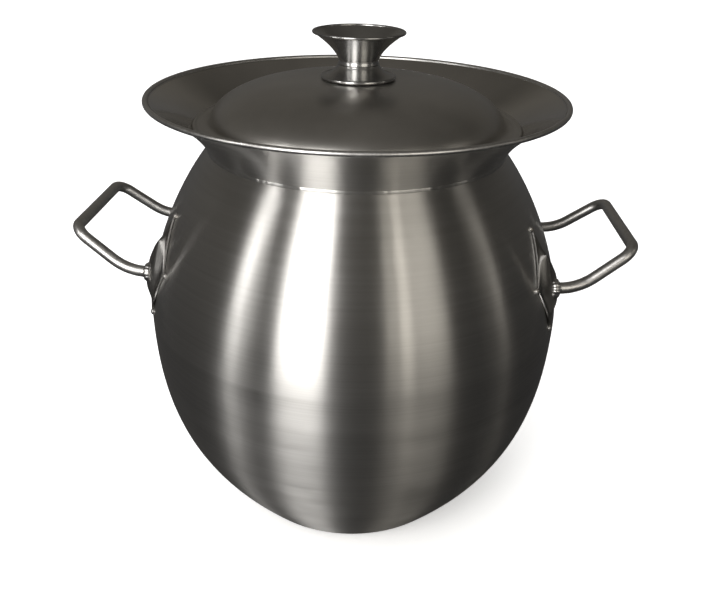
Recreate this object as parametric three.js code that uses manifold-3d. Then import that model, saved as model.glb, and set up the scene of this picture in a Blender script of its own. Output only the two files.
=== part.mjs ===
// A round-bellied stainless brew kettle: a spun belly with a flared collar, two bent-rod
// handles on pressed diamond pads, and a lift-off domed lid with a spun hourglass knob.
// Millimetres, +Z up. The origin is the middle of the flat base, and the handles lie along X.

import * as THREE from 'three';
import Module from 'manifold-3d';
import { mergeVertices } from 'three/addons/utils/BufferGeometryUtils.js';

const wasm = await Module();
wasm.setup();

// ---------------------------------------------------------------- driving dimensions

const gap = 0.3;                 // clearance kept between neighbouring pieces
const roundSides = 48;           // sides of the large turned pieces
const smallSides = 28;           // sides of the knob and its fittings

const kettleSheet = 1.5;         // wall of the belly and the collar
const baseEdgeRadius = 22;       // rounding between the flat base and the wall
const baseFlatRadius = 98;
const wallStartAngle = radians(49);  // slope of the wall where it leaves the base rounding
const belly = { radius: 191, height: 208 };
const neck = { radius: 132, height: 358, weldHalfHeight: 1.5 };
const shoulderSlope = radians(50);   // slope of the wall just under the neck
const wallPull = { base: 80, belowWidest: 96, aboveWidest: 46, neck: 50 };  // fullness of the wall
const rim = { radius: 180, height: 402, beadRadius: 2.2 };
const flareBend = { out: 0.22, up: 0.55 };  // shares of the way from the neck to the rim

const lidSheet = 1.2;
const lidDome = { radius: 129, rise: 36, boxiness: 3.2, crown: 1.8 };
const lidHem = { radius: 141.5, beadRadius: 1.5 };
const lidStep = 1.6;             // from the middle of the hem up to the foot of the dome

const knob = { lipRadius: 39.7, waistRadius: 17, footRadius: 32.5, sheet: 1.2, beadRadius: 1.2 };
const knobHeights = { foot: 0.6, waist: 16, lip: 38.5 };  // above the top of the dome
const knobSeamDrop = 3.5;        // the cup meets the foot this far below the waist
const bolt = { radius: 3, headAcross: 10, headHeight: 4, nutHeight: 5 };
const washer = { radius: 9, height: 1.6 };

const rodRadius = 5;             // handle rod
const handle = {
  padAngle: radians(22.4),       // of a pad, round the kettle from the X axis
  padHeight: 263,                // of the middle of a pad
  rodHeight: 258,                // of the rod where it meets the pad
  flatRun: 22,                   // level stretch of a leg, measured out from the pad
  gripReach: 242,                // from the axis to the middle of the grip
  gripHalfLength: 61.5,
  gripHeight: 291.5,
  legBendRadius: 46,
  cornerRadius: 15,
};
const pad = { halfWidth: 24, halfHeight: 42, sheet: 1.5, crown: 6.5 };
const padRings = { boss: 0.42, slope: 0.68, flat: 0.9 };  // shares of the half size
const tackRadius = 2.8;

// ---------------------------------------------------------------- general helpers

function radians(degrees) {
  return degrees * Math.PI / 180;
}

function finish(color, roughness, metalness = 1) {
  return new THREE.MeshStandardMaterial({ color, roughness, metalness });
}

const brushed = finish('#9b9893', 0.34);
const polished = finish('#8b8781', 0.12);
const weldMetal = finish('#a6a29b', 0.42);

const kettle = new THREE.Group();

function addPiece(name, geometry, material) {
  const mesh = new THREE.Mesh(geometry, material);
  mesh.name = name;
  kettle.add(mesh);
  return mesh;
}

// Points on a circular arc in the (radius, height) plane, angles measured from +radius.
function arc(centreR, centreZ, radius, fromAngle, toAngle, steps) {
  return Array.from({ length: steps + 1 }, (_, i) => {
    const angle = fromAngle + (toAngle - fromAngle) * i / steps;
    return new THREE.Vector2(centreR + radius * Math.cos(angle), centreZ + radius * Math.sin(angle));
  });
}

function stepFrom(point, angle, distance) {
  return new THREE.Vector2(
    point.x + distance * Math.cos(angle),
    point.y + distance * Math.sin(angle));
}

// The same outline moved sideways, to the left of its own direction.
function offsetOutline(points, distance) {
  return points.map((point, i) => {
    const before = points[Math.max(i - 1, 0)];
    const after = points[Math.min(i + 1, points.length - 1)];
    const along = after.clone().sub(before).normalize();
    return new THREE.Vector2(point.x - along.y * distance, point.y + along.x * distance);
  });
}

// A turned solid about Z. The outline runs anticlockwise and starts and ends on the axis,
// or else it is closed here.
function turned(outline, sides) {
  const points = outline.map((point) => new THREE.Vector2(Math.max(point.x, 0), point.y));
  const onAxis = points[0].x === 0 && points[points.length - 1].x === 0;
  if (!onAxis) {
    points.push(points[0].clone());
  }
  return new THREE.LatheGeometry(points, sides).rotateX(Math.PI / 2);
}

function toSolid(geometry) {
  const bare = new THREE.BufferGeometry();
  bare.setAttribute('position', geometry.getAttribute('position').clone());
  if (geometry.index) {
    bare.setIndex(geometry.index.clone());
  }
  const merged = mergeVertices(bare, 1e-3);
  const index = merged.index.array;
  const kept = [];
  for (let i = 0; i < index.length; i += 3) {
    const [a, b, c] = [index[i], index[i + 1], index[i + 2]];
    if (a !== b && b !== c && c !== a) {
      kept.push(a, b, c);
    }
  }
  return new wasm.Manifold(new wasm.Mesh({
    numProp: 3,
    vertProperties: new Float32Array(merged.getAttribute('position').array),
    triVerts: new Uint32Array(kept),
  }));
}

function toGeometry(solid) {
  const mesh = solid.getMesh();
  const geometry = new THREE.BufferGeometry();
  geometry.setAttribute('position', new THREE.BufferAttribute(mesh.vertProperties, 3));
  geometry.setIndex(new THREE.BufferAttribute(mesh.triVerts, 1));
  return geometry;
}

// ---------------------------------------------------------------- belly

// Outer wall from the base centre up to the neck.
function bellyOutline() {
  const cornerZ = baseEdgeRadius;
  const edge = arc(baseFlatRadius, cornerZ, baseEdgeRadius,
    -Math.PI / 2, -Math.PI / 2 + wallStartAngle, 3);
  const wallStart = edge[edge.length - 1];
  const widest = new THREE.Vector2(belly.radius, belly.height);
  const top = new THREE.Vector2(neck.radius, neck.height - neck.weldHalfHeight);
  const lower = new THREE.CubicBezierCurve(
    wallStart,
    stepFrom(wallStart, wallStartAngle, wallPull.base),
    stepFrom(widest, -Math.PI / 2, wallPull.belowWidest),
    widest);
  const upper = new THREE.CubicBezierCurve(
    widest,
    stepFrom(widest, Math.PI / 2, wallPull.aboveWidest),
    stepFrom(top, -shoulderSlope, wallPull.neck),
    top);
  return [
    new THREE.Vector2(0, 0),
    ...edge,
    ...lower.getPoints(7).slice(1),
    ...upper.getPoints(6).slice(1),
  ];
}

const bellyWall = bellyOutline();

function makeBelly() {
  const inner = offsetOutline(bellyWall, kettleSheet);
  inner[0].set(0, kettleSheet);
  return turned([...bellyWall, ...inner.reverse()], roundSides);
}

// A point that stands the given distance off the belly's outer wall.
function wallPoint(azimuth, height, standoff) {
  const above = bellyWall.findIndex((point) => point.y > height);
  const [low, high] = [bellyWall[above - 1], bellyWall[above]];
  const share = (height - low.y) / (high.y - low.y);
  const along = high.clone().sub(low).normalize();
  const radius = low.x + (high.x - low.x) * share + along.y * standoff;
  return new THREE.Vector3(
    radius * Math.cos(azimuth),
    radius * Math.sin(azimuth),
    height - along.x * standoff);
}

// ---------------------------------------------------------------- collar and neck weld

// Underside of the flare, from the neck weld to the rolled rim bead.
function flareOutline() {
  const start = new THREE.Vector2(neck.radius, neck.height + neck.weldHalfHeight);
  const bend = new THREE.Vector2(
    neck.radius + flareBend.out * (rim.radius - neck.radius),
    neck.height + flareBend.up * (rim.height - neck.height));
  const arrival = Math.atan2(rim.height - bend.y, rim.radius - bend.x);
  const halfWidth = Math.asin(kettleSheet / 2 / rim.beadRadius);
  const beadStart = arrival - Math.PI + halfWidth;
  const beadEnd = arrival + Math.PI - halfWidth;
  const bead = arc(rim.radius, rim.height, rim.beadRadius, beadStart, beadEnd, 8);
  const under = new THREE.QuadraticBezierCurve(start, bend, bead[0]).getPoints(4);
  return { under, bead };
}

const flare = flareOutline();
const flareInside = offsetOutline(flare.under, kettleSheet);

function makeCollar() {
  const inside = flareInside.slice(0, -1).reverse();
  return turned([...flare.under.slice(0, -1), ...flare.bead, ...inside], roundSides);
}

// Height of the flare's inner face at a radius.
function flareHeight(radius) {
  const above = flareInside.findIndex((point) => point.x > radius);
  const [low, high] = [flareInside[above - 1], flareInside[above]];
  return low.y + (high.y - low.y) * (radius - low.x) / (high.x - low.x);
}

// The ground bead between belly and collar, a little proud inside and out.
function makeNeckWeld() {
  const halfHeight = neck.weldHalfHeight - gap;
  const middle = neck.radius - kettleSheet / 2;
  const outline = [
    [-0.7, -halfHeight], [0.7, -halfHeight], [1.4, 0],
    [0.7, halfHeight], [-0.7, halfHeight], [-1.4, 0],
  ].map(([r, z]) => new THREE.Vector2(middle + r, neck.height + z));
  return turned(outline, roundSides);
}

// ---------------------------------------------------------------- handle pads and rods

// A pressed diamond that hugs the belly, its edges moved out by the margin. Lifts are
// measured off the wall.
function padSolid(azimuth, margin, innerLift, outerLift) {
  const { halfWidth, halfHeight } = pad;
  const growth = 1 + margin * Math.hypot(halfWidth, halfHeight) / (halfWidth * halfHeight);
  const halfLevels = [padRings.boss, padRings.slope, padRings.flat, 1];
  const levels = [...halfLevels.map((level) => -level).reverse(), 0, ...halfLevels];
  const side = levels.length;
  const cells = side - 1;
  const positions = [];
  for (const lift of [innerLift, outerLift]) {
    for (const a of levels) {
      for (const b of levels) {
        const fromMiddle = Math.max(Math.abs(a), Math.abs(b));
        const height = handle.padHeight + growth * (a + b) / 2 * halfHeight;
        const turn = growth * (a - b) / 2 * halfWidth / belly.radius;
        positions.push(...wallPoint(azimuth + turn, height, lift(fromMiddle)).toArray());
      }
    }
  }
  const layer = side * side;
  const index = [];
  const quad = (p, q, r, s) => index.push(p, q, r, p, r, s);
  for (let i = 0; i < cells; i += 1) {
    for (let j = 0; j < cells; j += 1) {
      const p = i * side + j;
      const alongRidge = levels[i] + levels[i + 1] > 0 === levels[j] + levels[j + 1] > 0;
      const corners = [p, p + 1, p + side + 1, p + side];
      if (!alongRidge) {
        corners.push(corners.shift());
      }
      quad(...corners);
      quad(...corners.map((corner) => corner + layer).reverse());
    }
  }
  for (let k = 0; k < cells; k += 1) {
    const edges = [
      [k, k + 1],
      [(k + 1) * side, k * side],
      [cells * side + k + 1, cells * side + k],
      [k * side + cells, (k + 1) * side + cells],
    ];
    for (const [p, q] of edges) {
      quad(p, layer + p, layer + q, q);
    }
  }
  const geometry = new THREE.BufferGeometry();
  geometry.setAttribute('position', new THREE.Float32BufferAttribute(positions, 3));
  geometry.setIndex(index);
  return geometry;
}

// How far the pressing rises: level on the boss, sloping to the flat outer ring.
function pressing(fromMiddle) {
  const slope = (padRings.flat - fromMiddle) / (padRings.flat - padRings.boss);
  return pad.crown * THREE.MathUtils.clamp(slope, 0, 1);
}

function makePad(azimuth) {
  const inner = (fromMiddle) => gap + pressing(fromMiddle);
  return padSolid(azimuth, 0, inner, (fromMiddle) => inner(fromMiddle) + pad.sheet);
}

// Everything that a weld or rod on the pad has to stay clear of.
function padClearance(azimuth) {
  const top = (fromMiddle) => 2 * gap + pad.sheet + pressing(fromMiddle);
  return toSolid(padSolid(azimuth, gap, () => -30, top));
}

// A round arc through a bend in a wire, tangent to both of its straight stretches.
class Bend extends THREE.Curve {
  constructor(before, corner, after, radius) {
    super();
    const inward = before.clone().sub(corner).normalize();
    const outward = after.clone().sub(corner).normalize();
    const half = inward.angleTo(outward) / 2;
    const setback = radius / Math.tan(half);
    const toCentre = inward.clone().add(outward).normalize();
    this.start = corner.clone().addScaledVector(inward, setback);
    this.end = corner.clone().addScaledVector(outward, setback);
    this.centre = corner.clone().addScaledVector(toCentre, radius / Math.sin(half));
    this.spoke = this.start.clone().sub(this.centre);
    this.forward = inward.clone().negate().multiplyScalar(radius);
    this.sweep = Math.PI - 2 * half;
  }

  getPoint(t, target = new THREE.Vector3()) {
    const angle = t * this.sweep;
    return target.copy(this.centre)
      .addScaledVector(this.spoke, Math.cos(angle))
      .addScaledVector(this.forward, Math.sin(angle));
  }
}

// A path along straight stretches with a rounded bend at every inner corner.
function bentPath(corners, bendRadii) {
  const path = new THREE.CurvePath();
  let from = corners[0];
  bendRadii.forEach((radius, i) => {
    const bend = new Bend(corners[i], corners[i + 1], corners[i + 2], radius);
    path.add(new THREE.LineCurve3(from, bend.start));
    path.add(bend);
    from = bend.end;
  });
  path.add(new THREE.LineCurve3(from, corners[corners.length - 1]));
  return path;
}

// Corner points of one leg on the +X side, from the pad outwards. front is -1 or +1 in Y.
function legPoints(front) {
  const foot = wallPoint(front * handle.padAngle, handle.rodHeight, pad.crown + pad.sheet);
  foot.z = handle.rodHeight;
  const corner = new THREE.Vector3(
    handle.gripReach, front * handle.gripHalfLength, handle.gripHeight);
  const level = new THREE.Vector3(corner.x - foot.x, corner.y - foot.y, 0).normalize();
  const root = foot.clone().addScaledVector(level, -14);
  const bend = foot.clone().addScaledVector(level, handle.flatRun);
  return { root, foot, bend, corner, level };
}

function makeRod() {
  const [front, rear] = [legPoints(-1), legPoints(1)];
  const path = bentPath(
    [front.root, front.bend, front.corner, rear.corner, rear.bend, rear.root],
    [handle.legBendRadius, handle.cornerRadius, handle.cornerRadius, handle.legBendRadius]);
  const section = new THREE.Shape();
  section.absarc(0, 0, rodRadius, 0, 2 * Math.PI);
  const rod = new THREE.ExtrudeGeometry(section, {
    extrudePath: path, steps: 56, curveSegments: 6, bevelEnabled: false,
  });
  return toSolid(rod)
    .subtract(padClearance(-handle.padAngle))
    .subtract(padClearance(handle.padAngle));
}

// The fillet of weld metal round the end of a rod, sitting on the pad's boss.
function makeRodWeld(front) {
  const { foot, level } = legPoints(front);
  const bore = rodRadius + gap;
  const ring = turned([
    new THREE.Vector2(bore, -9),
    new THREE.Vector2(bore + 3.4, -9),
    new THREE.Vector2(bore + 3, 0),
    new THREE.Vector2(bore + 1.2, 3.4),
    new THREE.Vector2(bore, 4),
  ], 14);
  const tilt = new THREE.Quaternion().setFromUnitVectors(new THREE.Vector3(0, 0, 1), level);
  ring.applyQuaternion(tilt).translate(foot.x, foot.y, foot.z);
  return toSolid(ring).subtract(padClearance(front * handle.padAngle));
}

// The solid belly grown by the clearance, for cutting whatever is welded to the wall.
const bellyClearance = toSolid(turned([
  ...offsetOutline(bellyWall.slice(1), -gap),
  new THREE.Vector2(0, bellyWall[bellyWall.length - 1].y),
  new THREE.Vector2(0, -gap),
], roundSides));

const padCorners = {
  upper: [0, 1],
  lower: [0, -1],
  outer: [1, 0],
  inner: [-1, 0],
};

// A tack weld bridging a corner of the pad and the wall.
function makeTack(front, [across, up]) {
  const reach = 1.05;
  const azimuth = front * (handle.padAngle + across * reach * pad.halfWidth / belly.radius);
  const middle = wallPoint(azimuth, handle.padHeight + up * reach * pad.halfHeight, 0.6);
  const ball = new THREE.SphereGeometry(tackRadius, 8, 6).translate(...middle.toArray());
  return toSolid(ball)
    .subtract(bellyClearance)
    .subtract(padClearance(front * handle.padAngle));
}

function addHandle(side, turnAbout) {
  const place = (geometry) => geometry.rotateZ(turnAbout);
  addPiece(`handle_${side}_rod`, place(toGeometry(makeRod())), polished);
  for (const front of [-1, 1]) {
    const name = `${side}_${front * (turnAbout ? -1 : 1) < 0 ? 'front' : 'rear'}`;
    addPiece(`handle_pad_${name}`, place(makePad(front * handle.padAngle)), brushed);
    addPiece(`rod_weld_${name}`, place(toGeometry(makeRodWeld(front))), weldMetal);
    for (const [corner, direction] of Object.entries(padCorners)) {
      addPiece(`tack_weld_${name}_${corner}`, place(toGeometry(makeTack(front, direction))),
        weldMetal);
    }
  }
}

// ---------------------------------------------------------------- lid

// The lid rests on the flare by the hem of its flange.
function hemHeightOnFlare() {
  const slope = Math.atan2(
    flareHeight(lidHem.radius + 1) - flareHeight(lidHem.radius - 1), 2);
  return flareHeight(lidHem.radius) + (lidHem.beadRadius + gap) / Math.cos(slope);
}

const hemHeight = hemHeightOnFlare();
const domeFoot = hemHeight + lidStep;
const domeTop = domeFoot + lidDome.rise;

// Top of the dome, from its foot up to the middle, as a rounded-square dome.
function domeOutline(steps) {
  return Array.from({ length: steps + 1 }, (_, i) => {
    const t = Math.PI / 2 * i / steps;
    return new THREE.Vector2(
      lidDome.radius * Math.cos(t) ** (2 / lidDome.boxiness),
      domeFoot + lidDome.rise * Math.sin(t) ** (2 / lidDome.crown));
  });
}

const boltHole = bolt.radius + gap;

// The dome with its turned-out flange and rolled hem.
function makeLidDome() {
  const half = lidSheet / 2;
  const entry = Math.asin(half / lidHem.beadRadius);
  const hem = arc(lidHem.radius, hemHeight, lidHem.beadRadius, -Math.PI + entry, Math.PI - entry, 6);
  const dome = domeOutline(9);
  const top = dome.slice(0, -1);
  top.push(new THREE.Vector2(boltHole, domeTop));
  const inside = offsetOutline(top, lidSheet).reverse();
  inside[0].x = boltHole;
  const root = new THREE.Vector2(lidDome.radius + 1.2, hemHeight + half);
  const rootInside = new THREE.Vector2(lidDome.radius - lidSheet + 1, hemHeight - half);
  return turned([rootInside, ...hem, root, ...top, ...inside], roundSides);
}

function makeWasher() {
  const top = domeTop - lidSheet - gap;
  return turned([
    new THREE.Vector2(boltHole, top - washer.height),
    new THREE.Vector2(washer.radius, top - washer.height),
    new THREE.Vector2(washer.radius, top),
    new THREE.Vector2(boltHole, top),
  ], smallSides);
}

const washerBottom = domeTop - lidSheet - gap - washer.height;
const cupFloor = domeTop + knobHeights.waist - knobSeamDrop;
const nutBottom = cupFloor + knob.sheet + gap;

function hexagon(across, bottom, height) {
  const prism = new THREE.CylinderGeometry(across / Math.sqrt(3), across / Math.sqrt(3), height, 6);
  return toSolid(prism.rotateX(Math.PI / 2).translate(0, 0, bottom + height / 2));
}

function cylinder(radius, bottom, top, sides) {
  const rod = new THREE.CylinderGeometry(radius, radius, top - bottom, sides);
  return toSolid(rod.rotateX(Math.PI / 2).translate(0, 0, (bottom + top) / 2));
}

// The bolt that clamps the knob, its head under the lid.
function makeBolt() {
  const headTop = washerBottom - gap;
  const head = hexagon(bolt.headAcross, headTop - bolt.headHeight, bolt.headHeight);
  const shank = cylinder(bolt.radius, headTop - 1, nutBottom + bolt.nutHeight + 1.5, 16);
  return toGeometry(head.add(shank));
}

function makeNut() {
  const body = hexagon(bolt.headAcross, nutBottom, bolt.nutHeight);
  const bore = cylinder(boltHole, nutBottom - 1, nutBottom + bolt.nutHeight + 1, 16);
  return toGeometry(body.subtract(bore));
}

// ---------------------------------------------------------------- knob

// The flaring upper half: a trumpet-shaped cup with a floor, and a rolled lip.
function makeKnobCup() {
  const waistHeight = domeTop + knobHeights.waist;
  const lipHeight = domeTop + knobHeights.lip;
  const beadCentre = new THREE.Vector2(knob.lipRadius - knob.beadRadius, lipHeight);
  const waist = new THREE.Vector2(knob.waistRadius, waistHeight);
  const bend = new THREE.Vector2(
    knob.waistRadius + 0.2 * (beadCentre.x - knob.waistRadius),
    waistHeight + 0.46 * (lipHeight - waistHeight));
  const arrival = Math.atan2(beadCentre.y - bend.y, beadCentre.x - bend.x);
  const entry = Math.asin(knob.sheet / 2 / knob.beadRadius);
  const bead = arc(beadCentre.x, beadCentre.y, knob.beadRadius,
    arrival - Math.PI + entry, arrival + Math.PI - entry, 6);
  const outside = [
    new THREE.Vector2(knob.waistRadius + 0.5, cupFloor),
    ...new THREE.QuadraticBezierCurve(waist, bend, bead[0]).getPoints(6).slice(0, -1),
  ];
  const inside = offsetOutline(outside, knob.sheet).reverse();
  const wallFoot = inside[inside.length - 1];
  wallFoot.y = cupFloor + knob.sheet;
  return turned([
    new THREE.Vector2(boltHole, cupFloor),
    ...outside,
    ...bead,
    ...inside,
    new THREE.Vector2(boltHole, cupFloor + knob.sheet),
  ], smallSides);
}

// The bell-shaped lower half: closed at the top, open underneath, with a rolled foot.
function makeKnobFoot() {
  const top = cupFloor - gap;
  const beadRadius = 1.7;
  const footCentre = new THREE.Vector2(
    knob.footRadius - beadRadius,
    domeTop + knobHeights.foot + beadRadius - 0.4);
  const shoulder = new THREE.Vector2(knob.waistRadius + 0.6, top);
  const bend = new THREE.Vector2(
    shoulder.x + 0.22 * (footCentre.x - shoulder.x),
    footCentre.y + 0.38 * (top - footCentre.y));
  const arrival = Math.atan2(bend.y - footCentre.y, bend.x - footCentre.x);
  const entry = Math.asin(knob.sheet / 2 / beadRadius);
  const bead = arc(footCentre.x, footCentre.y, beadRadius,
    arrival + entry - 2 * Math.PI, arrival - entry, 6);
  const wall = new THREE.QuadraticBezierCurve(bead[bead.length - 1], bend, shoulder).getPoints(5);
  const inside = offsetOutline(wall, knob.sheet).slice(1).reverse();
  inside[0].y = top - knob.sheet;
  return turned([
    ...inside,
    ...bead,
    ...wall.slice(1),
    new THREE.Vector2(boltHole, top),
    new THREE.Vector2(boltHole, top - knob.sheet),
  ], smallSides);
}

// ---------------------------------------------------------------- assembly

addPiece('kettle_belly', makeBelly(), brushed);
addPiece('neck_weld', makeNeckWeld(), weldMetal);
addPiece('flared_collar', makeCollar(), polished);
addHandle('right', 0);
addHandle('left', Math.PI);
addPiece('lid_dome', makeLidDome(), polished);
addPiece('lid_washer', makeWasher(), polished);
addPiece('knob_bolt', makeBolt(), polished);
addPiece('knob_foot', makeKnobFoot(), polished);
addPiece('knob_cup', makeKnobCup(), polished);
addPiece('knob_nut', makeNut(), polished);

export default kettle;
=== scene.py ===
"""The looks of a round-bellied stainless brew kettle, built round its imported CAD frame.

Outlines are (radius, height) points in millimetres, spun about the Z axis. The widths and
heights that the frame gives are read from it, and the rest are the driving sizes below.
"""

import math

import bpy
from mathutils import Euler, Matrix, Vector, noise


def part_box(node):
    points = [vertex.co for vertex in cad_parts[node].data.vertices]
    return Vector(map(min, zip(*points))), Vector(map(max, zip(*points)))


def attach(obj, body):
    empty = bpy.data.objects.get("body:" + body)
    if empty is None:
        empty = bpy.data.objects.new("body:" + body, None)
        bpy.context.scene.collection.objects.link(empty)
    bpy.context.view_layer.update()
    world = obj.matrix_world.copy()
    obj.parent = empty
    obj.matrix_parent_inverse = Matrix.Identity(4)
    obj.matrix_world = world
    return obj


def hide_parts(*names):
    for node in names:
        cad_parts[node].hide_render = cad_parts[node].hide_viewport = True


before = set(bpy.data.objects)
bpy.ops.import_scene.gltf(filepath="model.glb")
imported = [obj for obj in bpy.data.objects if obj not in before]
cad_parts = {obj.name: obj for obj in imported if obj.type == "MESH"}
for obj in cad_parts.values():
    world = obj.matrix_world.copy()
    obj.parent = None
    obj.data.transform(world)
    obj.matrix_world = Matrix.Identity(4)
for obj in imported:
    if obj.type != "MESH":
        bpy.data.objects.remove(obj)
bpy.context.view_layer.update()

MM = 0.001
HALF_TURN = math.pi
ON_AXIS = 1e-6
ROUND_SIDES = 256
KNOB_SIDES = 128
FASTENER_SIDES = 96


def box_mm(node):
    """Lowest and highest corner of a CAD node, in millimetres."""
    low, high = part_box(node)
    return low / MM, high / MM


# ---------------------------------------------------------------- sizes

_, BELLY_HIGH = box_mm("kettle_belly")
NECK_LOW, NECK_HIGH = box_mm("neck_weld")
_, COLLAR_HIGH = box_mm("flared_collar")
LID_LOW, LID_HIGH = box_mm("lid_dome")
CUP_LOW, CUP_HIGH = box_mm("knob_cup")
FOOT_LOW, FOOT_HIGH = box_mm("knob_foot")
_, ROD_HIGH = box_mm("handle_right_rod")

KETTLE_SHEET = 1.5
BELLY_RADIUS = BELLY_HIGH.x
WIDEST_HEIGHT = 208.0
BASE_FLAT_RADIUS = 98.0
BASE_EDGE_RADIUS = 22.0
WALL_START = math.radians(49)
SHOULDER_SLOPE = math.radians(50)
PULL_BASE, PULL_BELOW_WIDEST, PULL_ABOVE_WIDEST, PULL_NECK = 80.0, 96.0, 46.0, 50.0
NECK_RADIUS = 132.0
NECK_HEIGHT = (NECK_LOW.z + NECK_HIGH.z) / 2
NECK_WELD_HALF_HEIGHT = 1.5

RIM_BEAD_RADIUS = 2.2
RIM_RADIUS = COLLAR_HIGH.x - RIM_BEAD_RADIUS
RIM_HEIGHT = COLLAR_HIGH.z - RIM_BEAD_RADIUS
FLARE_BEND_OUT, FLARE_BEND_UP = 0.22, 0.55

LID_SHEET = 1.2
HEM_BEAD_RADIUS = 1.5
HEM_RADIUS = LID_HIGH.x - HEM_BEAD_RADIUS
HEM_HEIGHT = LID_LOW.z + HEM_BEAD_RADIUS
LID_STEP = 1.6
LID_DOME_RADIUS = 129.0
LID_DOME_FOOT = HEM_HEIGHT + LID_STEP
LID_TOP = LID_HIGH.z
LID_BOXINESS = 3.2
LID_CROWN = 1.8
LID_FILLET_WIDTH = 7
LID_FILLET_HEIGHT = 4
LID_FILLET_PULL = 0.8

KNOB_SHEET = 1.2
KNOB_WAIST_RADIUS = 17.0
CUP_BEAD_RADIUS = 1.2
CUP_LIP_RADIUS = CUP_HIGH.x
CUP_LIP_HEIGHT = CUP_HIGH.z - CUP_BEAD_RADIUS
CUP_FLOOR = CUP_LOW.z
CUP_BEND_OUT, CUP_BEND_UP = 0.2, 0.46
WAIST_ABOVE_FLOOR = 3.5
KNOB_WAIST_HEIGHT = CUP_FLOOR + WAIST_ABOVE_FLOOR
FOOT_BEAD_RADIUS = 1.7
FOOT_RADIUS = FOOT_HIGH.x
FOOT_BEND_OUT, FOOT_BEND_UP = 0.22, 0.38
BOLT_HOLE = 3.3

ROD_RADIUS = 5.0
PAD_ANGLE = math.radians(22.4)
PAD_HEIGHT = 263.0
ROD_HEIGHT = 258.0
PAD_HALF_WIDTH = 24.0
PAD_HALF_HEIGHT = 42.0
PAD_SHEET = 1.5
PAD_CROWN = 6.5
PAD_BOSS, PAD_FLAT = 0.42, 0.9
PAD_EDGE_ROUNDING = 0.25
PAD_GAP = 0.3
ROD_ROOT_DEPTH = 6
LEG_FLAT_RUN = 22.0
LEG_BEND_RADIUS = 46.0
GRIP_CORNER_RADIUS = 15.0
GRIP_REACH = ROD_HIGH.x - ROD_RADIUS
GRIP_HEIGHT = ROD_HIGH.z - ROD_RADIUS
GRIP_HALF_LENGTH = 61.5


# ---------------------------------------------------------------- outlines

def point(radius, height):
    """A point of an outline."""
    return Vector((radius, height))


def polar(angle, distance):
    """The step of the given length along an angle."""
    return Vector((distance * math.cos(angle), distance * math.sin(angle)))


def arc(centre, radius, start, end, steps):
    """Points on a circular arc, its angles measured from the +radius direction."""
    turn = (end - start) / steps
    return [centre + polar(start + turn * i, radius) for i in range(steps + 1)]


def bezier(points, steps):
    """Points along a quadratic or cubic Bezier curve, blended along its control lines."""
    curve = []
    for i in range(steps + 1):
        layer = points
        while len(layer) > 1:
            layer = [a.lerp(b, i / steps) for a, b in zip(layer, layer[1:])]
        curve.append(layer[0])
    return curve


def moved_left(outline, distance):
    """The same outline moved sideways, to the left of its own direction."""
    moved = []
    for i, here in enumerate(outline):
        before = outline[max(i - 1, 0)]
        after = outline[min(i + 1, len(outline) - 1)]
        along = (after - before).normalized()
        moved.append(here + Vector((-along.y, along.x)) * distance)
    return moved


def rounded_end(last_outside, first_inside):
    """The half-round edge that joins the two faces of a sheet."""
    steps = 6
    centre = (last_outside + first_inside) / 2
    spoke = last_outside - centre
    start = math.atan2(spoke.y, spoke.x)
    return arc(centre, spoke.length, start, start + HALF_TURN, steps)[1:-1]


def belly_wall():
    """Outer face of the belly, from the middle of the base up to the neck."""
    flat_steps, edge_steps, wall_steps = 8, 12, 48
    edge_centre = point(BASE_FLAT_RADIUS, BASE_EDGE_RADIUS)
    down = -HALF_TURN / 2
    edge = arc(edge_centre, BASE_EDGE_RADIUS, down, down + WALL_START, edge_steps)
    start = edge[-1]
    widest = point(BELLY_RADIUS, WIDEST_HEIGHT)
    top = point(NECK_RADIUS, NECK_HEIGHT - NECK_WELD_HALF_HEIGHT)
    lower = bezier([start, start + polar(WALL_START, PULL_BASE),
                    widest - point(0, PULL_BELOW_WIDEST), widest], wall_steps)
    upper = bezier([widest, widest + point(0, PULL_ABOVE_WIDEST),
                    top + polar(-SHOULDER_SLOPE, PULL_NECK), top], wall_steps)
    flat = [point(BASE_FLAT_RADIUS * i / flat_steps, 0) for i in range(flat_steps)]
    return flat + edge + lower[1:] + upper[1:]


WALL = belly_wall()


def wall_point(azimuth, height, standoff):
    """A point that stands the given distance off the outer face of the belly."""
    above = next(i for i, p in enumerate(WALL) if p.y > height)
    low, high = WALL[above - 1], WALL[above]
    here = low.lerp(high, (height - low.y) / (high.y - low.y))
    along = (high - low).normalized()
    radius = here.x + along.y * standoff
    lowered = height - along.x * standoff
    return Vector((radius * math.cos(azimuth), radius * math.sin(azimuth), lowered))


# ---------------------------------------------------------------- mesh making

def add_mesh(name, verts, faces):
    """A smooth-shaded piece, from corners in millimetres."""
    mesh = bpy.data.meshes.new(name)
    mesh.from_pydata([Vector(v) * MM for v in verts], [], faces)
    mesh.validate()
    mesh.shade_smooth()
    piece = bpy.data.objects.new(name, mesh)
    bpy.context.scene.collection.objects.link(piece)
    return piece


def spin(name, outline, sides, shift=None):
    """Spins a closed outline about Z. shift(azimuth, i) moves a point of it outwards."""
    verts, rings = [], []
    for i, p in enumerate(outline):
        if p.x < ON_AXIS:
            rings.append([len(verts)] * sides)
            verts.append((0, 0, p.y))
            continue
        rings.append([len(verts) + k for k in range(sides)])
        for k in range(sides):
            azimuth = 2 * HALF_TURN * k / sides
            radius = p.x + (shift(azimuth, i) if shift else 0)
            verts.append((radius * math.cos(azimuth), radius * math.sin(azimuth), p.y))
    pairs = list(zip(rings, rings[1:]))
    if outline[0].x >= ON_AXIS or outline[-1].x >= ON_AXIS:
        pairs.append((rings[-1], rings[0]))
    faces = []
    for low, high in pairs:
        for k in range(sides):
            n = (k + 1) % sides
            corners = [low[k], low[n], high[n], high[k]]
            faces.append(list(dict.fromkeys(corners)))
    return add_mesh(name, verts, faces)


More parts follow.
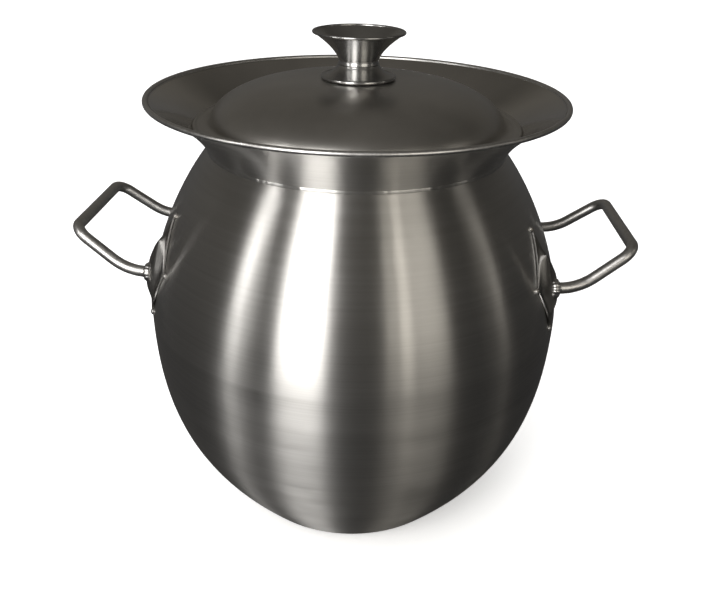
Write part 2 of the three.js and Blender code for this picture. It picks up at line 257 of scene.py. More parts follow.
def tube(name, path, radius, sides):
    """A round bar along a path, with its ends closed."""
    verts, rings = [], []
    across = Vector((0, 0, 1)).cross(path[1] - path[0]).normalized()
    for i, here in enumerate(path):
        along = (path[min(i + 1, len(path) - 1)] - path[max(i - 1, 0)]).normalized()
        across = (across - along * across.dot(along)).normalized()
        up = along.cross(across)
        rings.append(range(len(verts), len(verts) + sides))
        for k in range(sides):
            angle = 2 * HALF_TURN * k / sides
            verts.append(here + (across * math.cos(angle) + up * math.sin(angle)) * radius)
    faces = [list(reversed(rings[0])), list(rings[-1])]
    for low, high in zip(rings, rings[1:]):
        for k in range(sides):
            n = (k + 1) % sides
            faces.append([low[k], low[n], high[n], high[k]])
    return add_mesh(name, verts, faces)


def bevel(piece, width):
    """Rounds the sharp edges of a piece."""
    modifier = piece.modifiers.new("edge rounding", "BEVEL")
    modifier.width = width * MM
    modifier.segments = 3
    modifier.limit_method = "ANGLE"
    modifier.angle_limit = math.radians(40)


def place(piece, body, slot, material, *nodes):
    """Puts a piece on its body, in its finish, in the place of its CAD nodes."""
    piece.data.materials.append(material)
    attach(piece, body)
    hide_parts(*nodes)


# ---------------------------------------------------------------- materials

class Shader:
    """A material under construction, with short calls for its nodes."""

    def __init__(self, name, metallic=1.0, constants=None):
        self.material = bpy.data.materials.new(name)
        self.material.use_nodes = True
        self.tree = self.material.node_tree
        self.surface = self.tree.nodes["Principled BSDF"]
        self.surface.inputs["Metallic"].default_value = metallic
        for socket, value in (constants or {}).items():
            self.surface.inputs[socket].default_value = value
        self.position = self.node("ShaderNodeTexCoord").outputs["Object"]

    def node(self, kind, inputs=None, **settings):
        """A new node, with each input either linked to a socket or set to a value."""
        made = self.tree.nodes.new(kind)
        for key, value in settings.items():
            setattr(made, key, value)
        for socket, value in (inputs or {}).items():
            if isinstance(value, bpy.types.NodeSocket):
                self.tree.links.new(value, made.inputs[socket])
            else:
                made.inputs[socket].default_value = value
        return made

    def drive(self, socket, value):
        """Links a value to the material's surface."""
        self.tree.links.new(value, self.surface.inputs[socket])

    def math(self, operation, a, b=0.0):
        return self.node("ShaderNodeMath", {0: a, 1: b}, operation=operation).outputs[0]

    def radius(self):
        """Distance from the Z axis."""
        kind = "ShaderNodeVectorMath"
        flat = self.node(kind, {0: self.position, 1: (1, 1, 0)}, operation="MULTIPLY")
        return self.node(kind, {0: flat.outputs[0]}, operation="LENGTH").outputs["Value"]

    def stretched(self, round_scale, line_scale):
        """A place for noise that runs in fine lines round the Z axis, on walls and on flat discs."""
        x, y, z = self.node("ShaderNodeSeparateXYZ", {0: self.position}).outputs
        height = self.math("MULTIPLY", z, line_scale)
        out = self.math("MULTIPLY", self.radius(), line_scale)
        across = self.math("ADD", height, out)
        parts = {
            "X": self.math("MULTIPLY", x, round_scale),
            "Y": self.math("MULTIPLY", y, round_scale),
            "Z": across,
        }
        return self.node("ShaderNodeCombineXYZ", parts).outputs[0]

    def noise(self, vector, scale, detail=3.0, roughness=0.55):
        inputs = {"Vector": vector, "Scale": scale, "Detail": detail, "Roughness": roughness}
        return self.node("ShaderNodeTexNoise", inputs).outputs["Fac"]

    def ranged(self, value, low, high, from_low=0.3, from_high=0.7):
        """Noise, which mostly lies between from_low and from_high, stretched to low and high."""
        inputs = {
            "Value": value,
            "From Min": from_low,
            "From Max": from_high,
            "To Min": low,
            "To Max": high,
        }
        return self.node("ShaderNodeMapRange", inputs).outputs["Result"]

    def blend(self, factor, first, second):
        """The first colour where the factor is 0, and the second where it is 1."""
        made = self.node("ShaderNodeMix", data_type="RGBA")
        for socket, value in ((0, factor), (6, first), (7, second)):
            if isinstance(value, bpy.types.NodeSocket):
                self.tree.links.new(value, made.inputs[socket])
            else:
                made.inputs[socket].default_value = value
        return made.outputs[2]

    def bump(self, height, strength, distance):
        inputs = {"Height": height, "Strength": strength, "Distance": distance * MM}
        self.drive("Normal", self.node("ShaderNodeBump", inputs).outputs[0])


def grey(level, warmth):
    """A grey with a little more red, and with more than that taken off its blue."""
    blue_loss = 1.6
    return (level * (1 + warmth), level, level * (1 - blue_loss * warmth), 1.0)


def brushed_round(name, level, roughness, coat):
    """Steel brushed in fine lines round the Z axis, which smears reflections along the wall."""
    across_the_lines = 0.25
    fine_lines = 700.0
    coarse_lines = fine_lines / 9
    hair_share, band_share = 0.65, 0.35
    wear = 0.03
    shader = Shader(name, constants={
        "Anisotropic": 1.0,
        "Anisotropic Rotation": across_the_lines,
        "Coat Weight": coat,
        "Coat Roughness": 0.12,
    })
    hair = shader.noise(shader.stretched(5.0, fine_lines), scale=1.0, detail=4.0)
    bands = shader.noise(shader.stretched(2.0, coarse_lines), scale=1.0)
    smudge = shader.noise(shader.position, scale=14.0, detail=4.0)
    mark = shader.math(
        "ADD", shader.math("MULTIPLY", hair, hair_share), shader.math("MULTIPLY", bands, band_share))
    shader.drive("Base Color", shader.blend(
        shader.ranged(mark, 0.0, 1.0), grey(level * 0.9, 0.02), grey(level * 1.06, 0.016)))
    worn = shader.math("ADD", shader.ranged(mark, -wear, wear), shader.ranged(smudge, -wear, wear))
    shader.drive("Roughness", shader.math("ADD", worn, roughness))
    tangent = shader.node("ShaderNodeTangent", direction_type="RADIAL", axis="Z")
    shader.drive("Tangent", tangent.outputs[0])
    shader.bump(hair, strength=0.14, distance=0.02)
    return shader.material


def mirror_polished(name, level, roughness, warmth=0.026):
    """Buffed steel: a clear reflection with faint buffing lines and handling smudges."""
    shader = Shader(name)
    swirl = shader.noise(shader.stretched(round_scale=9.0, line_scale=420.0), scale=1.0, detail=4.0)
    smudge = shader.noise(shader.position, scale=18.0, detail=5.0, roughness=0.62)
    shader.drive("Base Color", shader.blend(
        shader.ranged(smudge, 0.0, 1.0), grey(level * 0.93, warmth), grey(level * 1.05, warmth)))
    shader.drive("Roughness", shader.math(
        "ADD", shader.ranged(swirl, -0.01, 0.015), shader.ranged(smudge, roughness, roughness + 0.05)))
    shader.bump(swirl, strength=0.05, distance=0.002)
    return shader.material


def drawn_rod(name, level, roughness):
    """Bright drawn steel, with fine irregular handling marks."""
    shader = Shader(name)
    grain = shader.noise(shader.position, scale=420.0, detail=4.0)
    smudge = shader.noise(shader.position, scale=45.0)
    shader.drive("Base Color", shader.blend(
        shader.ranged(grain, 0.0, 1.0), grey(level * 0.88, 0.015), grey(level * 1.06, 0.01)))
    shader.drive("Roughness", shader.math(
        "ADD", shader.ranged(grain, -0.03, 0.04), shader.ranged(smudge, roughness, roughness + 0.08)))
    shader.bump(grain, strength=0.1, distance=0.006)
    return shader.material


def weld_metal(name, level, roughness, tint):
    """Cast-looking weld metal with a trace of heat colour."""
    shader = Shader(name)
    lumps = shader.noise(shader.position, scale=260.0, detail=4.0)
    heat = shader.noise(shader.position, scale=90.0, detail=2.0)
    metal = shader.blend(
        shader.ranged(lumps, 0.0, 1.0), grey(level * 0.72, 0.02), grey(level * 1.12, 0.01))
    tinted = shader.ranged(heat, 0.0, 0.5, from_low=0.5, from_high=0.75)
    shader.drive("Base Color", shader.blend(tinted, metal, tint))
    shader.drive("Roughness", shader.ranged(lumps, roughness - 0.08, roughness + 0.1))
    shader.bump(lumps, strength=0.5, distance=0.25)
    return shader.material


STRAW_TINT = (0.42, 0.33, 0.2, 1.0)
BLUE_TINT = (0.24, 0.25, 0.3, 1.0)

belly_steel = brushed_round("belly_brushed_steel", 0.62, 0.36, coat=0.3)
collar_steel = mirror_polished("collar_polished_steel", 0.56, 0.1)
rim_steel = drawn_rod("rim_rolled_steel", 0.6, 0.3)
lid_steel = mirror_polished("lid_mirror_steel", 0.52, 0.3)
knob_steel = mirror_polished("knob_mirror_steel", 0.44, 0.22, warmth=0.008)
rod_steel = drawn_rod("handle_rod_steel", 0.6, 0.35)
pad_steel = brushed_round("pad_pressed_steel", 0.44, 0.55, coat=0.0)
tack_steel = weld_metal("tack_weld_steel", 0.5, 0.42, STRAW_TINT)
rod_weld_steel = weld_metal("rod_weld_steel", 0.55, 0.34, BLUE_TINT)
fastener_steel = drawn_rod("fastener_steel", 0.6, 0.24)


# ---------------------------------------------------------------- vessel

def make_belly():
    inner = moved_left(WALL, KETTLE_SHEET)
    inner[0] = point(0, KETTLE_SHEET)
    inside = list(reversed(inner))
    outline = WALL + rounded_end(WALL[-1], inside[0]) + inside
    piece = spin("belly_shell", outline, ROUND_SIDES)
    place(piece, "kettle", "brushed_belly", belly_steel, "kettle_belly")


def flare_faces():
    """Under face of the flare, its rolled rim bead, and the upper face from the rim inwards."""
    start = point(NECK_RADIUS, NECK_HEIGHT + NECK_WELD_HALF_HEIGHT)
    bend = point(NECK_RADIUS + FLARE_BEND_OUT * (RIM_RADIUS - NECK_RADIUS),
                 NECK_HEIGHT + FLARE_BEND_UP * (RIM_HEIGHT - NECK_HEIGHT))
    centre = point(RIM_RADIUS, RIM_HEIGHT)
    arrival = math.atan2(centre.y - bend.y, centre.x - bend.x)
    entry = math.asin(KETTLE_SHEET / 2 / RIM_BEAD_RADIUS)
    bead = arc(centre, RIM_BEAD_RADIUS, arrival - HALF_TURN + entry, arrival + HALF_TURN - entry, 28)
    under = bezier([start, bend, bead[0]], 40)
    upper = moved_left(under, KETTLE_SHEET)[:-1]
    return under[:-1], bead, list(reversed(upper))


def make_collar():
    """The flare is polished inside and brushed like the belly outside, with a duller rolled rim."""
    under, bead, upper = flare_faces()
    outline = under + bead + upper + rounded_end(upper[-1], under[0])
    piece = spin("collar_shell", outline, ROUND_SIDES)
    place(piece, "kettle", "polished_collar", collar_steel, "flared_collar")
    piece.data.materials.append(belly_steel)
    piece.data.materials.append(rim_steel)
    outside_finish, rim_finish = 1, 2
    for face in piece.data.polygons:
        ring = face.index // ROUND_SIDES
        if ring < len(under):
            face.material_index = outside_finish
        elif ring < len(under) + len(bead) - 1:
            face.material_index = rim_finish


def make_neck_weld():
    """A bead ground almost flush, slightly rippled, that covers the joint on both faces."""
    proud, half_height = 0.1, 2.0
    ripple_share, ripple_scale = 0.35, 38
    centre = point(NECK_RADIUS - KETTLE_SHEET / 2, NECK_HEIGHT)
    half_width = KETTLE_SHEET / 2 + proud
    steps = 20
    outline = []
    for i in range(steps):
        angle = 2 * HALF_TURN * i / steps
        outline.append(centre + point(half_width * math.cos(angle), half_height * math.sin(angle)))

    def ripple(azimuth, i):
        outwards = outline[i].x - centre.x
        around = Vector((math.cos(azimuth), math.sin(azimuth), 0))
        return outwards * ripple_share * noise.noise(around * ripple_scale)

    piece = spin("neck_weld_bead", outline, ROUND_SIDES * 2, ripple)
    place(piece, "kettle", "weld_metal", belly_steel, "neck_weld")


# ---------------------------------------------------------------- handles

def clamped(value):
    return min(max(value, 0.0), 1.0)


def smooth_step(value):
    """A soft S-shaped climb from 0 to 1."""
    value = clamped(value)
    return value * value * (3 - 2 * value)


def pressing(a, b):
    """Lift of the pressed diamond: a rounded pyramid with ridges running to its corners."""
    sharpness = 7
    rounded_share, straight_share = 0.6, 0.4
    from_middle = (abs(a) ** sharpness + abs(b) ** sharpness) ** (1 / sharpness)
    rise = (PAD_FLAT - from_middle) / (PAD_FLAT - PAD_BOSS)
    return PAD_CROWN * (rounded_share * smooth_step(rise) + straight_share * clamped(rise))


def make_pad(name, azimuth, node):
    """A diamond of sheet that follows the wall. Its grid directions a and b run along its edges."""
    cells = 28
    side = cells + 1
    verts = []
    for sheet in (0.0, PAD_SHEET):
        for i in range(side):
            for j in range(side):
                a, b = 2 * i / cells - 1, 2 * j / cells - 1
                height = PAD_HEIGHT + (a + b) / 2 * PAD_HALF_HEIGHT
                turn = (a - b) / 2 * PAD_HALF_WIDTH / BELLY_RADIUS
                standoff = PAD_GAP + pressing(a, b) + sheet
                verts.append(wall_point(azimuth + turn, height, standoff))
    layer = side * side
    faces = []
    for i in range(cells):
        for j in range(cells):
            p = i * side + j
            under = [p, p + 1, p + side + 1, p + side]
            faces.append(under)
            faces.append([layer + q for q in reversed(under)])
    for k in range(cells):
        edges = (
            (k, k + 1),
            ((k + 1) * side, k * side),
            (cells * side + k + 1, cells * side + k),
            (k * side + cells, (k + 1) * side + cells),
        )
        faces.extend([p, layer + p, layer + q, q] for p, q in edges)
    piece = add_mesh(name, verts, faces)
    piece.data.set_sharp_from_angle(angle=math.radians(60))
    bevel(piece, PAD_EDGE_ROUNDING)
    place(piece, "kettle", "pressed_pad", pad_steel, node)


def leg_points(side, front):
    """Root, pad end, bend and grip corner of one leg, and the level direction out of the pad."""
    azimuth = front * PAD_ANGLE
    foot = wall_point(azimuth, ROD_HEIGHT, PAD_CROWN + PAD_SHEET)
    foot.z = ROD_HEIGHT
    corner = Vector((GRIP_REACH, front * GRIP_HALF_LENGTH, GRIP_HEIGHT))
    level = Vector((corner.x - foot.x, corner.y - foot.y, 0)).normalized()
    turn = Matrix.Rotation(0 if side > 0 else HALF_TURN, 3, "Z")
    root, bend = foot - level * ROD_ROOT_DEPTH, foot + level * LEG_FLAT_RUN
    return [turn @ v for v in (root, foot, bend, corner, level)]


def bent_path(corners, bends):
    """A path along straight lines, with a round bend of its own radius at every inner corner."""
    steps = 14
    path = [corners[0]]
    for before, corner, after, radius in zip(corners, corners[1:], corners[2:], bends):
        back = (before - corner).normalized()
        ahead = (after - corner).normalized()
        half = back.angle(ahead) / 2
        start = corner + back * (radius / math.tan(half))
        centre = corner + (back + ahead).normalized() * (radius / math.sin(half))
        spoke = start - centre
        sweep = HALF_TURN - 2 * half
        for i in range(steps + 1):
            angle = sweep * i / steps
            path.append(centre + spoke * math.cos(angle) - back * (radius * math.sin(angle)))
    return path + [corners[-1]]


def make_rod(side, name):
    front, rear = leg_points(side, -1), leg_points(side, 1)
    corners = [front[0], front[2], front[3], rear[3], rear[2], rear[0]]
    bends = [LEG_BEND_RADIUS, GRIP_CORNER_RADIUS, GRIP_CORNER_RADIUS, LEG_BEND_RADIUS]
    piece = tube(f"{name}_bent_rod", bent_path(corners, bends), ROD_RADIUS, 40)
    place(piece, "kettle", "polished_rod", rod_steel, f"handle_{name}_rod")


def make_rod_weld(side, front, name):
    """The fillet of weld metal round the end of the rod, laid in overlapping ripples."""
    _, foot, _, _, level = leg_points(side, front)
    reach, depth, ripples = 3.6, 3.8, 15
    ripple_size, lump_size, lump_scale, weld_spacing = 0.12, 0.1, 2.2, 40
    rod_gap, overlap, sunk = 0.4, 0.6, 0.4
    outer_share, wall_share = 0.75, 0.9
    ring, around = 12, 96
    tilt = level.to_track_quat("Z", "Y").to_matrix()
    verts = []
    for i in range(ring):
        angle = 2 * HALF_TURN * i / ring
        for k in range(around):
            azimuth = 2 * HALF_TURN * k / around
            spot = Vector((math.cos(azimuth), math.sin(azimuth), foot.y / weld_spacing))
            ripple = ripple_size * abs(math.sin(ripples * azimuth / 2))
            lump = 1 + ripple + lump_size * noise.noise(spot * lump_scale)
            share = outer_share if math.sin(angle) > 0 else wall_share
            radius = ROD_RADIUS + rod_gap + reach * lump * 0.5 * (1 + math.cos(angle)) - overlap
            height = depth * lump * math.sin(angle) * share - sunk
            local = Vector((radius * math.cos(azimuth), radius * math.sin(azimuth), height))
            verts.append(foot + tilt @ local)
    faces = []
    for i in range(ring):
        for k in range(around):
            j, n = (i + 1) % ring, (k + 1) % around
            faces.append([i * around + k, i * around + n, j * around + n, j * around + k])
    piece = add_mesh(f"rod_fillet_{name}", verts, faces)
    place(piece, "kettle", "weld_metal", rod_weld_steel, f"rod_weld_{name}")


TACK_RADIUS = 2.8
TACK_REACH = 1.05
TACK_SQUASH = 0.75
PAD_CORNERS = {"upper": (0, 1), "lower": (0, -1), "outer": (1, 0), "inner": (-1, 0)}


def make_tack(azimuth, front, name, corner):
    """A small domed spot of weld, squashed against the wall at a corner of the pad."""
    lump_size, lump_scale, lump_shift = 0.16, 1.7, 0.05
    lifted, clear_of_wall = 0.5, 2
    across, up = PAD_CORNERS[corner]
    spot_azimuth = azimuth + front * across * TACK_REACH * PAD_HALF_WIDTH / BELLY_RADIUS
    height = PAD_HEIGHT + up * TACK_REACH * PAD_HALF_HEIGHT
    middle = wall_point(spot_azimuth, height, lifted)
    clear = wall_point(spot_azimuth, height, clear_of_wall)
    out = (clear - wall_point(spot_azimuth, height, 0)).normalized()
    tilt = out.to_track_quat("Z", "Y").to_matrix()
    rings, around = 12, 24
    verts = [middle + out * (TACK_RADIUS * TACK_SQUASH)]
    for i in range(1, rings):
        polar_angle = HALF_TURN * i / rings
        for k in range(around):
            spin_angle = 2 * HALF_TURN * k / around
            girth = math.sin(polar_angle)
            ball = Vector((girth * math.cos(spin_angle), girth * math.sin(spin_angle),
                           math.cos(polar_angle)))
            lump = 1 + lump_size * noise.noise(ball * lump_scale + middle * lump_shift)
            squashed = Vector((ball.x, ball.y, ball.z * TACK_SQUASH))
            verts.append(middle + tilt @ squashed * TACK_RADIUS * lump)
    verts.append(middle - out * (TACK_RADIUS * TACK_SQUASH))
    faces = []
    for k in range(around):
        n = (k + 1) % around
        faces.append([0, 1 + k, 1 + n])
        for i in range(rings - 2):
            low, high = 1 + i * around, 1 + (i + 1) * around
            faces.append([low + k, high + k, high + n, low + n])
        last = 1 + (rings - 2) * around
        faces.append([last + n, last + k, len(verts) - 1])
    piece = add_mesh(f"tack_spot_{name}_{corner}", verts, faces)
    place(piece, "kettle", "weld_metal", tack_steel, f"tack_weld_{name}_{corner}")


def make_handle(side, side_name):
    """A bent rod with its two pads, rod welds and tacks. Side is 1 for the right, -1 for the left."""
    make_rod(side, side_name)
    for front in (-1, 1):
        end = "front" if front * side < 0 else "rear"
        name = f"{side_name}_{end}"
        azimuth = front * PAD_ANGLE + (0 if side > 0 else HALF_TURN)
        make_pad(f"pad_plate_{name}", azimuth, f"handle_pad_{name}")
        make_rod_weld(side, front, name)
        for corner in PAD_CORNERS:
            make_tack(azimuth, front, name, corner)


# ---------------------------------------------------------------- lid

def dome_top(steps):
    """Upper face of the dome from its foot to the bolt hole, as a rounded-square dome."""
    rise = LID_TOP - LID_DOME_FOOT
    outline = []
    for i in range(steps + 1):
        t = HALF_TURN / 2 * i / steps
        outline.append(point(LID_DOME_RADIUS * math.cos(t) ** (2 / LID_BOXINESS),
                             LID_DOME_FOOT + rise * math.sin(t) ** (2 / LID_CROWN)))
    return [p for p in outline if p.x > BOLT_HOLE] + [point(BOLT_HOLE, LID_TOP)]


def make_lid():
    """The rolled hem, the level flange, a fillet up into the dome, and the same again inside."""
    half = LID_SHEET / 2
    entry = math.asin(half / HEM_BEAD_RADIUS)
    hem_centre = point(HEM_RADIUS, HEM_HEIGHT)
    hem = arc(hem_centre, HEM_BEAD_RADIUS, -HALF_TURN + entry, HALF_TURN - entry, 24)
    dome = [p for p in dome_top(90) if p.y > LID_DOME_FOOT + LID_FILLET_HEIGHT]
    foot = point(LID_DOME_RADIUS + LID_FILLET_WIDTH, HEM_HEIGHT + half)
    corner = point(dome[0].x + LID_FILLET_PULL, HEM_HEIGHT + half)
    fillet = bezier([foot, corner, dome[0]], 12)
    top = fillet + dome[1:]
    inside = list(reversed(moved_left(top, LID_SHEET)))
    outline = hem + top + inside
    piece = spin("lid_shell", outline, ROUND_SIDES)
    place(piece, "lid", "mirror_lid", lid_steel, "lid_dome")


def make_knob_cup():
    """The open upper cup, whose flat floor is clamped on the foot below the waist."""
    seam_edge, seam_width, seam_lift, seam_bend = 0.3, 0.7, 0.2, 1.6
    corner_height, corner_pull, corner_width = 2, 0.4, 3
    floor_top = CUP_FLOOR + KNOB_SHEET
    centre = point(CUP_LIP_RADIUS - CUP_BEAD_RADIUS, CUP_LIP_HEIGHT)
    waist = point(KNOB_WAIST_RADIUS, KNOB_WAIST_HEIGHT)
    bend = point(waist.x + CUP_BEND_OUT * (centre.x - waist.x),
                 waist.y + CUP_BEND_UP * (centre.y - waist.y))
    arrival = math.atan2(centre.y - bend.y, centre.x - bend.x)
    entry = math.asin(KNOB_SHEET / 2 / CUP_BEAD_RADIUS)
    bead = arc(centre, CUP_BEAD_RADIUS, arrival - HALF_TURN + entry, arrival + HALF_TURN - entry, 20)
    skirt = bezier([point(KNOB_WAIST_RADIUS + seam_width, CUP_FLOOR + seam_lift),
                    point(KNOB_WAIST_RADIUS, CUP_FLOOR + seam_bend), waist], 8)
    wall = skirt + bezier([waist, bend, bead[0]], 48)[1:-1]
    inside = list(reversed(moved_left(wall, KNOB_SHEET)))
    inside = [p for p in inside if p.y > floor_top + corner_height]
    floor_edge = bezier([inside[-1], point(inside[-1].x - corner_pull, floor_top),
                         point(inside[-1].x - corner_width, floor_top)], 8)[1:]
    outline = [point(BOLT_HOLE, CUP_FLOOR), point(KNOB_WAIST_RADIUS + seam_edge, CUP_FLOOR)]
    outline += wall + bead + inside + floor_edge + [point(BOLT_HOLE, floor_top)]
    piece = spin("knob_upper_cup", outline, KNOB_SIDES)
    place(piece, "lid", "mirror_knob", knob_steel, "knob_cup")


def make_knob_foot():
    """The flared lower foot, closed at the top by the flat floor that the cup is clamped on."""
    shoulder_width = 0.6
    top = FOOT_HIGH.z
    centre = point(FOOT_RADIUS - FOOT_BEAD_RADIUS, FOOT_LOW.z + FOOT_BEAD_RADIUS)
    shoulder = point(KNOB_WAIST_RADIUS + shoulder_width, top)
    bend = point(shoulder.x + FOOT_BEND_OUT * (centre.x - shoulder.x),
                 centre.y + FOOT_BEND_UP * (top - centre.y))
    arrival = math.atan2(bend.y - centre.y, bend.x - centre.x)
    entry = math.asin(KNOB_SHEET / 2 / FOOT_BEAD_RADIUS)
    bead = arc(centre, FOOT_BEAD_RADIUS, arrival + entry - 2 * HALF_TURN, arrival - entry, 24)
    wall = bezier([bead[-1], bend, shoulder], 40)
    inside = list(reversed(moved_left(wall, KNOB_SHEET)[1:]))
    inside = [p for p in inside if p.y < top - KNOB_SHEET]
    outline = [point(BOLT_HOLE, top - KNOB_SHEET)] + inside + bead + wall[1:]
    outline.append(point(BOLT_HOLE, top))
    piece = spin("knob_lower_foot", outline, KNOB_SIDES)
    place(piece, "lid", "mirror_knob", knob_steel, "knob_foot")


# ---------------------------------------------------------------- fasteners

def hex_radius(azimuth, across):
    """Distance from the middle of a hexagon to its edge, in the given direction."""
    sector = HALF_TURN / 3
    return across / 2 / math.cos((azimuth + sector / 2) % sector - sector / 2)


def hex_block(low, high, across, chamfer_low, chamfer_high):
    """Rings of a hexagon's outer face with its corners chamfered, from low to high."""
    corner_cut, chamfer_slope, steps = 0.9, 1.7, 8
    corner = across / math.sqrt(3)
    rings = []
    for step in range(steps + 1):
        z = low + (high - low) * (step / steps)
        limits = []
        if chamfer_low:
            limits.append(corner - corner_cut + chamfer_slope * (z - low))
        if chamfer_high:
            limits.append(corner - corner_cut + chamfer_slope * (high - z))
        ring = []
        for k in range(FASTENER_SIDES):
            azimuth = 2 * HALF_TURN * k / FASTENER_SIDES
            radius = min([hex_radius(azimuth, across)] + limits)
            ring.append(Vector((radius * math.cos(azimuth), radius * math.sin(azimuth), z)))
        rings.append(ring)
    return rings


def circle_ring(radius, z, wobble=None):
    """A level ring of points. wobble(azimuth, z) moves a point of it outwards."""
    ring = []
    for k in range(FASTENER_SIDES):
        azimuth = 2 * HALF_TURN * k / FASTENER_SIDES
        here = radius + (wobble(azimuth, z) if wobble else 0)
        ring.append(Vector((here * math.cos(azimuth), here * math.sin(azimuth), z)))
    return ring


def skin(name, rings, closed):
    """A skin over rings of points that run anticlockwise: a closed loop, or else with flat ends."""
    sides = len(rings[0])
    verts = [v for ring in rings for v in ring]
    faces = []
    last = len(rings) if closed else len(rings) - 1
    for i in range(last):
        j = (i + 1) % len(rings)
        for k in range(sides):
            n = (k + 1) % sides
            faces.append([i * sides + k, i * sides + n, j * sides + n, j * sides + k])
    if not closed:
        faces.append(list(reversed(range(sides))))
        faces.append([(len(rings) - 1) * sides + k for k in range(sides)])
    piece = add_mesh(name, verts, faces)
    piece.data.set_sharp_from_angle(angle=math.radians(32))
    return piece


def make_bolt(across):
    """A hexagon head under the lid, and a threaded shank up through the knob."""
    low, high = box_mm("knob_bolt")
    head_height, shank_radius, thread_depth, pitch = 4, 3.0, 0.45, 1.0
    end_length, end_cut, neck_lift, rings_per_turn = 0.5, 0.7, 0.01, 6
    head_top = low.z + head_height
    threaded = high.z - end_length - head_top

    def thread(azimuth, z):
        phase = (z / pitch + azimuth / (2 * HALF_TURN)) % 1
        return -thread_depth * abs(2 * phase - 1)

    rings = hex_block(low.z, head_top, across, True, False)
    rings.append(circle_ring(shank_radius, head_top + neck_lift))
    steps = int(threaded / (pitch / rings_per_turn))
    for i in range(1, steps + 1):
        rings.append(circle_ring(shank_radius, head_top + threaded * i / steps, wobble=thread))
    rings.append(circle_ring(shank_radius - end_cut, high.z))
    place(skin("clamp_bolt", rings, False), "lid", "fastener_steel", fastener_steel, "knob_bolt")


def make_nut(across):
    """A hexagon nut with a chamfered bore."""
    low, high = box_mm("knob_nut")
    bore_gap, chamfer = 0.1, 0.4
    bore = BOLT_HOLE - bore_gap
    rings = hex_block(low.z, high.z, across, True, True)
    rings += [circle_ring(bore + chamfer, high.z), circle_ring(bore, high.z - chamfer),
              circle_ring(bore, low.z + chamfer), circle_ring(bore + chamfer, low.z)]
    place(skin("clamp_nut", rings, True), "lid", "fastener_steel", fastener_steel, "knob_nut")


def make_washer():
    """A flat washer with a rounded outer edge."""
    low, high = box_mm("lid_washer")
    edge = 0.25
    outline = [point(BOLT_HOLE, low.z)]
    outline += arc(point(high.x - edge, low.z + edge), edge, -HALF_TURN / 2, 0, 4)
    outline += arc(point(high.x - edge, high.z - edge), edge, 0, HALF_TURN / 2, 4)
    outline.append(point(BOLT_HOLE, high.z))
    piece = spin("clamp_washer", outline, KNOB_SIDES)
    piece.data.set_sharp_from_angle(angle=math.radians(50))
    place(piece, "lid", "fastener_steel", fastener_steel, "lid_washer")


def make_fasteners():
    """The bolt, nut and washer that clamp the knob. One width across flats fits bolt and nut."""
    bolt_low, bolt_high = box_mm("knob_bolt")
    across = bolt_high.x - bolt_low.x
    make_bolt(across)
    make_nut(across)
    make_washer()


make_belly()
make_collar()
make_neck_weld()
make_handle(1, "right")
make_handle(-1, "left")
make_lid()
make_knob_cup()
make_knob_foot()
make_fasteners()


# ---------------------------------------------------------------- stage

def make_floor():
    """A plain pale floor. It glows a little, so that it comes out almost as white as the backdrop."""
    half = 12.0
    mesh = bpy.data.meshes.new("studio_floor")
    corners = [(-half, -half, 0), (half, -half, 0), (half, half, 0), (-half, half, 0)]
    mesh.from_pydata(corners, [], [(0, 1, 2, 3)])
    floor = bpy.data.objects.new("studio_floor", mesh)
    bpy.context.scene.collection.objects.link(floor)
    shader = Shader("floor_pale", metallic=0.0, constants={
        "Roughness": 0.9,
        "Specular IOR Level": 0.1,
        "Emission Color": (1, 1, 1, 1),
        "Emission Strength": 0.4,
    })
    tone = shader.noise(shader.position, scale=3.0)
    shader.drive("Base Color", shader.blend(tone, (0.86, 0.86, 0.86, 1), (0.88, 0.88, 0.88, 1)))
    floor.data.materials.append(shader.material)
    # The steel mirrors the world's dark lower half instead of the floor.
    floor.visible_glossy = False


def add_panel(name, azimuth, width, low, high, radiance, tint):
    """A soft upright panel that faces the kettle, from low to high metres above the floor.

    Its azimuth is in degrees to the right of the front, and its width in degrees as well.
    """
    distance = 1.7
    angle = math.radians(azimuth)
    light = bpy.data.lights.new(name, "AREA")
    light.shape = "RECTANGLE"
    light.size = 2 * distance * math.tan(math.radians(width) / 2)
    light.size_y = high - low
    light.energy = radiance * math.pi * light.size * light.size_y
    light.color = tint
    panel = bpy.data.objects.new(name, light)
    panel.location = (distance * math.sin(angle), -distance * math.cos(angle), (low + high) / 2)
    panel.rotation_euler = (math.pi / 2, 0, angle)
    panel.visible_camera = False
    bpy.context.scene.collection.objects.link(panel)


def make_lights():
    """Daylight from two windows on the left, dim lamps on the right, and a wide soft overhead."""
    daylight, warm = (1.0, 0.985, 0.96), (1.0, 0.95, 0.85)
    # After the name: azimuth, width, lowest and highest edge, brightness and colour.
    add_panel("window_left", -59, 6.5, 0.35, 1.8, 6.5, daylight)
    add_panel("window_main", -23.2, 23.6, 0.3, 1.9, 8.0, daylight)
    add_panel("lamp_narrow", 21.4, 1.6, 0.35, 1.6, 3.8, warm)
    add_panel("lamp_right", 29.5, 6, 0.35, 1.6, 3.2, warm)
    add_panel("lamp_far_right", 43, 17, 0.35, 1.6, 1.5, warm)
    add_panel("glow_right", 84, 5, 0.35, 1.5, 0.9, warm)
    overhead = bpy.data.lights.new("overhead", "SUN")
    overhead.energy = 2.9
    overhead.angle = math.radians(75)
    lamp = bpy.data.objects.new("overhead", overhead)
    lean, swing = math.radians(6), math.radians(-8)
    lamp.rotation_euler = (lean, swing, 0)
    lamp.visible_glossy = False
    bpy.context.scene.collection.objects.link(lamp)


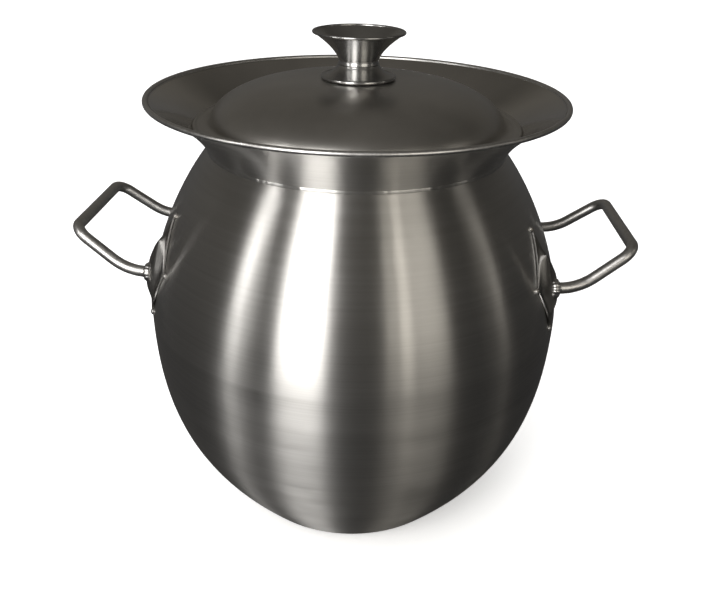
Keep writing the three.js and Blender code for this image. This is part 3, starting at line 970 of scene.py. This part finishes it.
def make_world():
    """A dim warm room in reflections, darker on the right, that the camera sees as plain white."""
    world = bpy.data.worlds.new("studio")
    world.use_nodes = True
    tree = world.node_tree
    background = tree.nodes["Background"]
    direction = tree.nodes.new("ShaderNodeTexCoord").outputs["Generated"]
    heading = tree.nodes.new("ShaderNodeSeparateXYZ")
    tree.links.new(direction, heading.inputs[0])
    ramp = tree.nodes.new("ShaderNodeValToRGB")
    # Each step is a height, from 0 straight down to 1 straight up, and the room's colour there.
    steps = (
        (0.0, (0.03, 0.029, 0.028)),
        (0.35, (0.045, 0.045, 0.046)),
        (0.48, (0.088, 0.087, 0.087)),
        (0.72, (0.13, 0.121, 0.106)),
        (0.8, (0.085, 0.079, 0.069)),
        (1.0, (0.12, 0.112, 0.1)),
    )
    while len(ramp.color_ramp.elements) < len(steps):
        ramp.color_ramp.elements.new(0.5)
    for element, (height, colour) in zip(ramp.color_ramp.elements, steps):
        element.position = height
        element.color = (*colour, 1)
    spread = tree.nodes.new("ShaderNodeMapRange")
    spread.inputs["From Min"].default_value = -1
    tree.links.new(heading.outputs["Z"], spread.inputs["Value"])
    tree.links.new(spread.outputs["Result"], ramp.inputs["Fac"])
    shade = tree.nodes.new("ShaderNodeMapRange")
    full, right_side = 1.0, 0.55
    shade.inputs["To Min"].default_value = full
    shade.inputs["To Max"].default_value = right_side
    tree.links.new(heading.outputs["X"], shade.inputs["Value"])
    room = tree.nodes.new("ShaderNodeVectorMath")
    room.operation = "SCALE"
    tree.links.new(ramp.outputs["Color"], room.inputs[0])
    tree.links.new(shade.outputs["Result"], room.inputs["Scale"])
    seen = tree.nodes.new("ShaderNodeLightPath").outputs["Is Camera Ray"]
    mix = tree.nodes.new("ShaderNodeMix")
    mix.data_type = "RGBA"
    tree.links.new(seen, mix.inputs[0])
    tree.links.new(room.outputs[0], mix.inputs[6])
    white = (1.0, 1.0, 1.0, 1)
    mix.inputs[7].default_value = white
    tree.links.new(mix.outputs[2], background.inputs["Color"])
    bpy.context.scene.world = world


def make_camera():
    """The photograph's viewpoint: in front, looking down, with a slight roll."""
    data = bpy.data.cameras.new("camera")
    data.sensor_width = 36.0
    data.lens = 40.2
    camera = bpy.data.objects.new("camera", data)
    stand = Vector((0.0317, -0.6990, 0.5563))
    down, heading, roll = math.radians(26.86), math.radians(2.25), math.radians(1.35)
    turn = Euler((math.pi / 2 - down, 0, heading)).to_matrix().to_4x4()
    camera.matrix_world = Matrix.Translation(stand) @ turn @ Matrix.Rotation(roll, 4, "Z")
    bpy.context.scene.collection.objects.link(camera)
    bpy.context.scene.camera = camera


make_floor()
make_lights()
make_world()
make_camera()
bpy.context.scene.view_settings.view_transform = "Standard"
